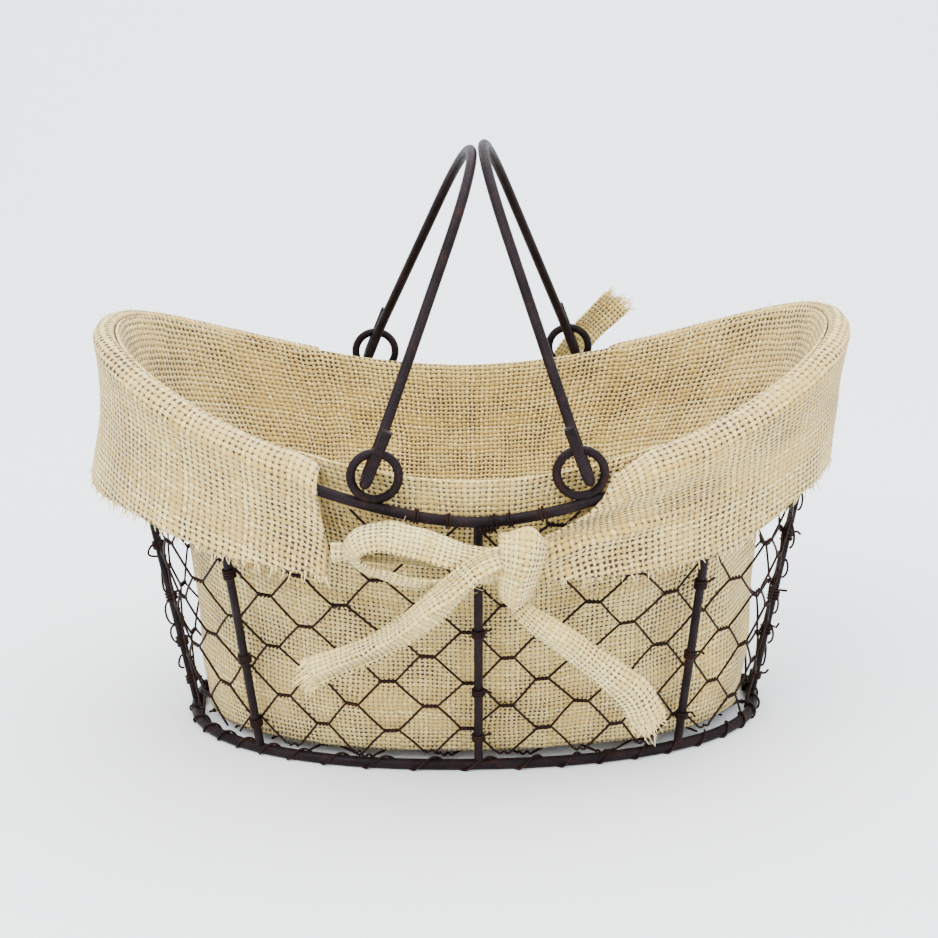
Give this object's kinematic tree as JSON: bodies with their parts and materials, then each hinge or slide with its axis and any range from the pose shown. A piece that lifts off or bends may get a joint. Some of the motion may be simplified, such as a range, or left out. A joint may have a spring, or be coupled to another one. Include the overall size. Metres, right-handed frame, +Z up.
{
  "type": "lined wire basket",
  "caption": "Oval wire basket with dark rod frame, hexagonal netting, a loose woven cloth liner folded over the ends and tied in a bow, and folding bail handles.",
  "frame": {"origin": "middle of the base ring, on the surface that the basket stands on", "axes": "+Z up, +X along the oval towards its right end, -Y towards the side with the bow"},
  "size_m": [0.3455, 0.238, 0.2629],
  "materials": {
    "dark_iron": "satin, slightly rusty",
    "netting_wire": "satin",
    "burlap": "coarse open weave"
  },
  "bodies": {
    "frame": {"base_lacing": "netting_wire", "base_netting": "netting_wire", "base_ring": "dark_iron", "bow_loop_front": "burlap", "cuff_left": "burlap", "cuff_right": "burlap", "handle_ring_back_left": "dark_iron", "handle_ring_back_right": "dark_iron", "handle_ring_front_left": "dark_iron", "handle_ring_front_right": "dark_iron", "knot_back": "burlap", "knot_front": "burlap", "liner_bag": "burlap", "netting_back_centre_to_back_left": "netting_wire", "netting_back_left_to_end_left": "netting_wire", "netting_back_right_to_back_centre": "netting_wire", "netting_end_left_to_front_left": "netting_wire", "netting_end_right_to_back_right": "netting_wire", "netting_front_centre_to_front_right": "netting_wire", "netting_front_left_to_front_centre": "netting_wire", "netting_front_right_to_end_right": "netting_wire", "rim_lacing": "netting_wire", "stay_back_centre": "dark_iron", "stay_back_left": "dark_iron", "stay_back_right": "dark_iron", "stay_bindings": "netting_wire", "stay_end_left": "dark_iron", "stay_end_right": "dark_iron", "stay_front_centre": "dark_iron", "stay_front_left": "dark_iron", "stay_front_right": "dark_iron", "tail_back_down": "burlap", "tail_back_up": "burlap", "tail_front_left": "burlap", "tail_front_right": "burlap", "tie_band_back_left": "burlap", "tie_band_back_right": "burlap", "tie_band_front_left": "burlap", "tie_band_front_right": "burlap", "top_rim": "dark_iron"},
    "handle_left": {"handle_left": "dark_iron"},
    "handle_right": {"handle_right": "dark_iron"}
  },
  "joints": [
    {"name": "handle_left_swing", "type": "hinge", "parent": "frame", "child": "handle_left", "pos_m": [-0.04765, -0.0002, 0.14137], "axis": [0.0216, -0.9998, -0.0056], "range_deg": [0, 78]},
    {"name": "handle_right_swing", "type": "hinge", "parent": "frame", "child": "handle_right", "pos_m": [0.0492, -0.00041, 0.14191], "axis": [0.0412, 0.9991, 0.011], "range_deg": [0, 76]}
  ]
}
